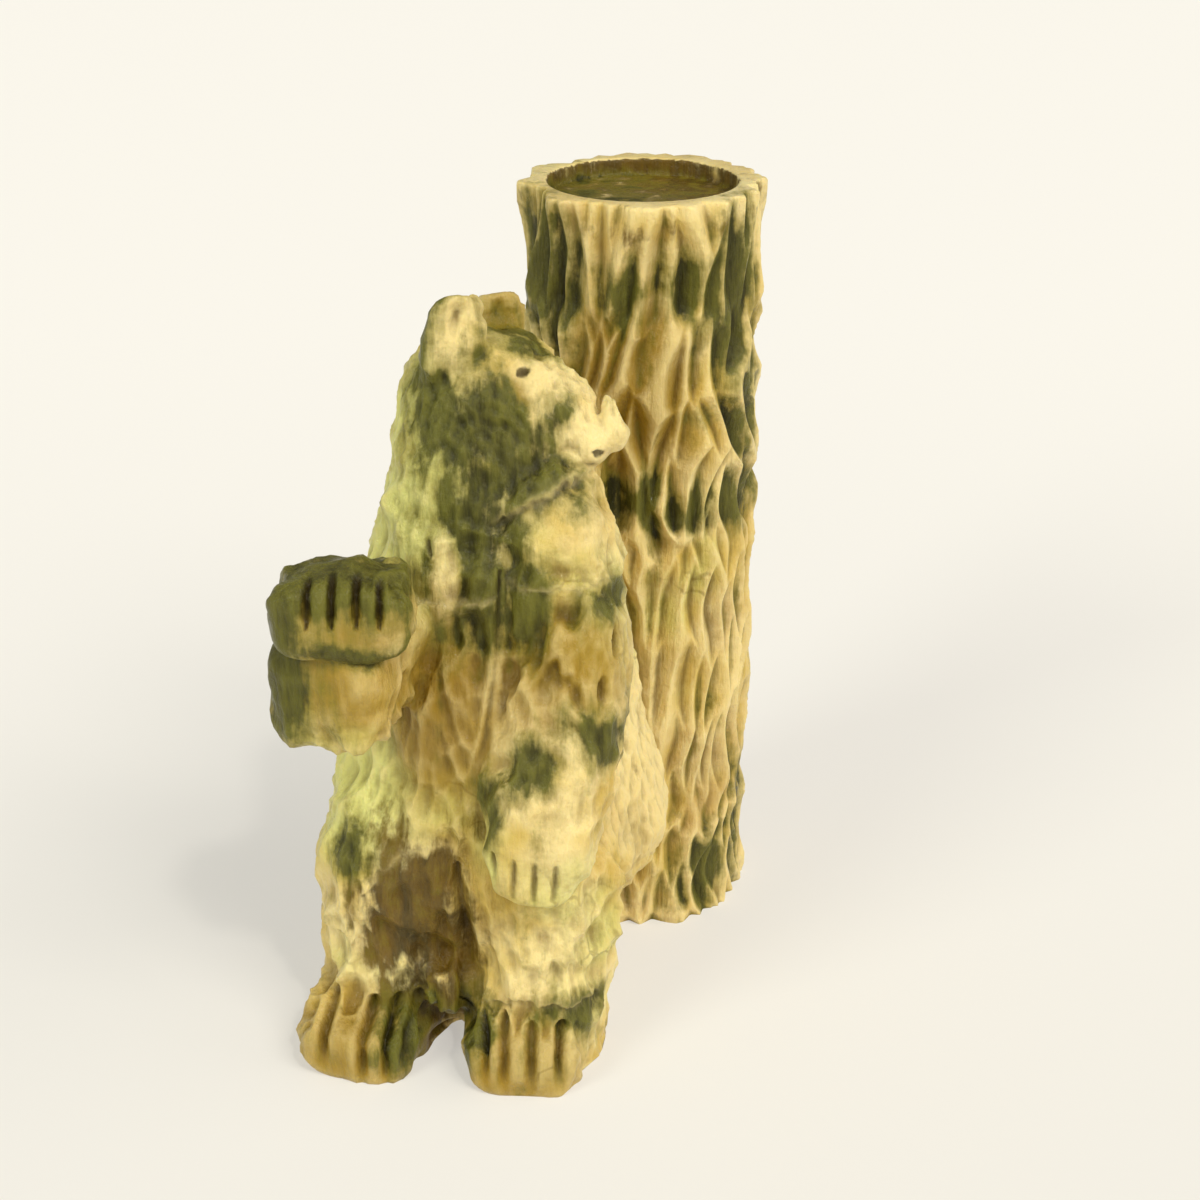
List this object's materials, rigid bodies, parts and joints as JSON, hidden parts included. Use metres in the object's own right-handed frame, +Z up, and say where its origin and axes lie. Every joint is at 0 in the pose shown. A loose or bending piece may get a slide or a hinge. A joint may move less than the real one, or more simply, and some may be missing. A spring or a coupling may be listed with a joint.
{
  "type": "bear and tree trunk carving",
  "caption": "Soapstone carving of a bear standing upright beside a tree trunk, with a shallow round candle seat in the trunk's top.",
  "frame": {"origin": "middle of the carving's box on the plane that it stands on", "axes": "+Z up, the bear's chest faces -Y, the trunk stands towards +X and +Y"},
  "size_m": [0.128, 0.1582, 0.22],
  "materials": {
    "soapstone": "waxed and polished"
  },
  "bodies": {
    "root": {"bear_and_trunk": "soapstone"}
  },
  "joints": []
}
